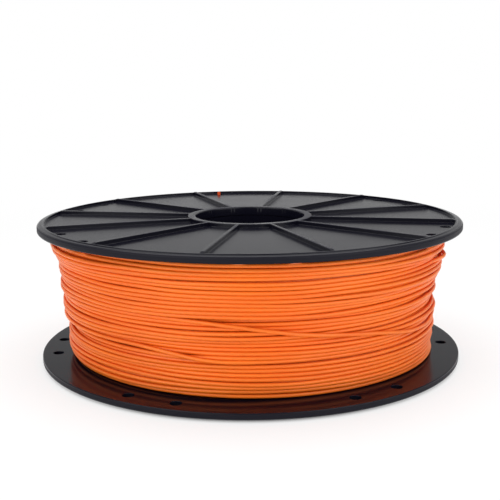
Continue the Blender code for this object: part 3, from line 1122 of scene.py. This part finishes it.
def tube_rings(points, radius, sides):
    """Returns rings of points round a path, without twist."""
    steps = np.diff(points, axis=0)
    tangents = np.concatenate([steps[:1], steps[:-1] + steps[1:], steps[-1:]])
    tangents /= np.linalg.norm(tangents, axis=1)[:, None]
    side = np.cross(tangents[0], (0.0, 0.0, 1.0))
    angles = math.tau * np.arange(sides) / sides
    cosines, sines = np.cos(angles)[:, None], np.sin(angles)[:, None]
    rings = []
    for point, tangent in zip(points, tangents):
        side = side - tangent * side.dot(tangent)
        side /= math.sqrt(side.dot(side))
        up = np.cross(tangent, side)
        rings.append(point + radius * (cosines * side + sines * up))
    return rings


class SPOOL_OT_winding(bpy.types.Operator):
    """Wind the filament: the outer layer, the layer under it and the ridged core"""

    bl_idname = "spool.winding"
    bl_label = "Filament winding"

    def execute(self, context):
        reel, sizes = context.scene.spool_reel, context.scene.spool_winding
        winding = Winding(reel, sizes)
        radius = sizes.strand / 2
        outer = tube_rings(winding.outer_points(), radius, OUTER_SIDES)
        under = tube_rings(winding.under_points(), radius, UNDER_SIDES)
        core = winding.core_rings(BARREL_RADIUS)
        material = bpy.data.materials["spool_orange_filament"]
        for name, rings, joined_up, node in (
            ("filament_outer_turns", outer, False, "filament_outer_layer"),
            ("filament_under_turns", under, False, "filament_inner_layers"),
            ("filament_core", core, True, "filament_inner_layers"),
        ):
            piece = add_piece(name, rings_mesh(name, [rings], joined_up), material)
            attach(piece, "root")
            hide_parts(node)
        return {"FINISHED"}


# ---------------------------------------------------------------------------
# Stage

# The camera as fitted to the photograph; the floor, which glows from the spool's edge outwards;
# the white sweep, which gives way to a grey studio as the line of sight rises; and the softboxes
CAMERA_DISTANCE = 0.43784
CAMERA_HEIGHT = 0.1321
CAMERA_AZIMUTH = math.radians(-94.1)
CAMERA_PITCH = 0.1865
CAMERA_ROLL = -0.0072
SENSOR_WIDTH = 36.0
FLOOR_REACH = 3.0
FLOOR_SIDES = 96
FLOOR_GLOW_EDGE = (0.095, 0.1015)
FLOOR_GLOW_NEAR = 0.70
FLOOR_GLOW_RISE = (0.12, 0.60)
STUDIO_GREY = 0.40
STUDIO_GREY_FROM = (0.078, 0.125)
LAMP_AIM = Vector((0.0, 0.0, 0.035))
OVERHEAD_PLACE = Vector((0.0, 0.12, 0.80))
OVERHEAD_SIZE = (1.00, 0.60)
SIDE_PLACE = Vector((0.85, -0.80, 0.46))
SIDE_SIZE = (1.35, 0.85)


def add_lamp(name, place, size, power):
    """Adds a softbox at a place, turned towards the spool."""
    data = bpy.data.lights.new(name, "AREA")
    data.shape = "RECTANGLE"
    data.size, data.size_y = size
    data.energy = power
    lamp = bpy.data.objects.new(name, data)
    lamp.location = place
    lamp.rotation_euler = (LAMP_AIM - place).to_track_quat("-Z", "Y").to_euler()
    bpy.context.scene.collection.objects.link(lamp)


def seen_directly(finish):
    """A value that is 1 for rays from the camera, from a mirror or through glass."""
    path = finish.add("ShaderNodeLightPath")
    rays = [
        Value(finish, path.outputs[name])
        for name in ("Is Camera Ray", "Is Glossy Ray", "Is Transmission Ray")
    ]
    return rays[0].greatest(rays[1]).greatest(rays[2])


def make_floor(settings):
    """Makes the floor: near white to the eye, with the spool's soft shadow kept."""
    finish = Finish(bpy.data.materials.new("stage_floor"))
    _, x, y, _ = finish.position()
    distance = (x * x + y * y) ** 0.5
    diffuse = finish.add("ShaderNodeBsdfDiffuse", None, {"Color": (*settings.floor_colour, 1.0)})
    glow = finish.add("ShaderNodeEmission", None, {"Color": (1, 1, 1, 1), "Strength": 1.0})
    rise = FLOOR_GLOW_NEAR + (1 - FLOOR_GLOW_NEAR) * distance.ramp(*FLOOR_GLOW_RISE)
    share = seen_directly(finish) * distance.ramp(*FLOOR_GLOW_EDGE) * rise
    mix = finish.add(
        "ShaderNodeMixShader", None, {0: share, 1: diffuse.outputs[0], 2: glow.outputs[0]}
    )
    finish.tree.links.new(mix.outputs[0], finish.output.inputs[0])
    return finish.owner


def make_world(settings):
    """Lights the set evenly; the eye and reflections meet a white sweep under a grey studio."""
    world = bpy.data.worlds.new("studio")
    finish = Finish(world)
    up = finish.parts(finish.add("ShaderNodeTexCoord").outputs["Generated"])[2]
    seen = 1 - (1 - STUDIO_GREY) * up.ramp(*STUDIO_GREY_FROM)
    share = seen_directly(finish)
    strength = share * seen + (1 - share) * settings.fill
    light = finish.add("ShaderNodeBackground", None, {"Color": (1, 1, 1, 1), "Strength": strength})
    finish.tree.links.new(light.outputs[0], finish.output.inputs[0])
    bpy.context.scene.world = world


class SPOOL_OT_stage(bpy.types.Operator):
    """Set up the floor, the softboxes and the camera"""

    bl_idname = "spool.stage"
    bl_label = "Stage"

    def execute(self, context):
        scene = context.scene
        settings = scene.spool_stage
        work = bmesh.new()
        bmesh.ops.create_circle(work, cap_ends=True, segments=FLOOR_SIDES, radius=FLOOR_REACH)
        floor = add_piece("stage_floor", mesh_from(work, "stage_floor"), make_floor(settings))
        make_world(settings)
        add_lamp("overhead", OVERHEAD_PLACE, OVERHEAD_SIZE, settings.overhead_power)
        for name, side in (("left", -1), ("right", 1)):
            place = Vector((side * SIDE_PLACE.x, SIDE_PLACE.y, SIDE_PLACE.z))
            add_lamp(name, place, SIDE_SIZE, settings.side_power)

        data = bpy.data.cameras.new("camera")
        data.sensor_width = SENSOR_WIDTH
        data.lens = settings.lens
        camera = bpy.data.objects.new("camera", data)
        scene.collection.objects.link(camera)
        turn = Matrix.Rotation(CAMERA_AZIMUTH + math.pi / 2, 4, "Z")
        place = Matrix.Translation((0.0, -CAMERA_DISTANCE, CAMERA_HEIGHT))
        tilt = Matrix.Rotation(math.pi / 2 - CAMERA_PITCH, 4, "X")
        roll = Matrix.Rotation(CAMERA_ROLL, 4, "Z")
        camera.matrix_world = turn @ place @ tilt @ roll
        scene.camera = camera
        scene.view_settings.view_transform = "Standard"
        return {"FINISHED"}


# ---------------------------------------------------------------------------
# Add-on


class SPOOL_PT_sidebar(bpy.types.Panel):
    """Panel that lists the sizes, colours and operators"""

    bl_idname = "SPOOL_PT_sidebar"
    bl_label = "Filament spool"
    bl_space_type = "VIEW_3D"
    bl_region_type = "UI"
    bl_category = "Spool"

    def draw(self, context):
        scene = context.scene
        for group in (scene.spool_reel, scene.spool_winding, scene.spool_finish, scene.spool_stage):
            box = self.layout.box()
            for name in group.__annotations__:
                box.prop(group, name)
        for maker in MAKERS:
            self.layout.operator(maker.bl_idname)


GROUPS = {
    "spool_reel": ReelSizes,
    "spool_winding": WindingSizes,
    "spool_finish": FinishSettings,
    "spool_stage": StageSettings,
}
MAKERS = (SPOOL_OT_finishes, SPOOL_OT_flanges, SPOOL_OT_drum, SPOOL_OT_winding, SPOOL_OT_stage)


def register():
    for kind in (*GROUPS.values(), *MAKERS, SPOOL_PT_sidebar):
        bpy.utils.register_class(kind)
    for name, group in GROUPS.items():
        setattr(bpy.types.Scene, name, PointerProperty(type=group))


def unregister():
    for name in GROUPS:
        delattr(bpy.types.Scene, name)
    for kind in (SPOOL_PT_sidebar, *MAKERS[::-1], *GROUPS.values()):
        bpy.utils.unregister_class(kind)


def main():
    """Makes every piece and the stage."""
    register()
    bpy.ops.spool.finishes()
    bpy.ops.spool.flanges()
    bpy.ops.spool.drum()
    bpy.ops.spool.winding()
    bpy.ops.spool.stage()
    bpy.context.view_layer.update()


if __name__ == "__main__":
    main()
